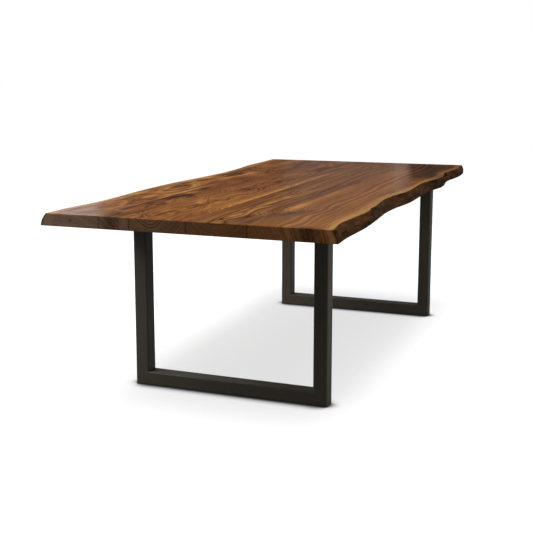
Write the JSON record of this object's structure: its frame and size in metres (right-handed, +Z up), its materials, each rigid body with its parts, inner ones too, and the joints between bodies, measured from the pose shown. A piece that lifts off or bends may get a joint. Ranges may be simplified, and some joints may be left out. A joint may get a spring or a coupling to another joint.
{
  "type": "live edge dining table",
  "caption": "Long rectangular dining table: thick edge-glued walnut slab with two wavy live edges, overhanging two U-shaped frames of square-cornered dark steel tube.",
  "frame": {"origin": "on the floor, under the middle of the whole table's box", "axes": "+X along the table's length, +Y towards the left live edge, +Z up"},
  "size_m": [2.5, 1.198, 0.76],
  "materials": {
    "walnut": "oiled satin, straight to crotch figure with pale sapwood along the live edges",
    "tenon_beech": "planed",
    "coated_steel": "dark bronze-black powder coat, satin",
    "zinc_steel": "black zinc plated",
    "insert_brass": "turned"
  },
  "bodies": {
    "root": {"board_left_live_edge": "walnut", "board_left_inner": "walnut", "board_middle": "walnut", "board_right_inner": "walnut", "board_right_live_edge": "walnut", "loose_tenons_a": "tenon_beech", "loose_tenons_b": "tenon_beech", "loose_tenons_c": "tenon_beech", "loose_tenons_d": "tenon_beech", "near_left_upright": "coated_steel", "near_right_upright": "coated_steel", "near_floor_rail": "coated_steel", "near_mounting_plate": "coated_steel", "near_plate_screws": "zinc_steel", "near_threaded_inserts": "insert_brass", "far_left_upright": "coated_steel", "far_right_upright": "coated_steel", "far_floor_rail": "coated_steel", "far_mounting_plate": "coated_steel", "far_plate_screws": "zinc_steel", "far_threaded_inserts": "insert_brass"}
  },
  "joints": []
}
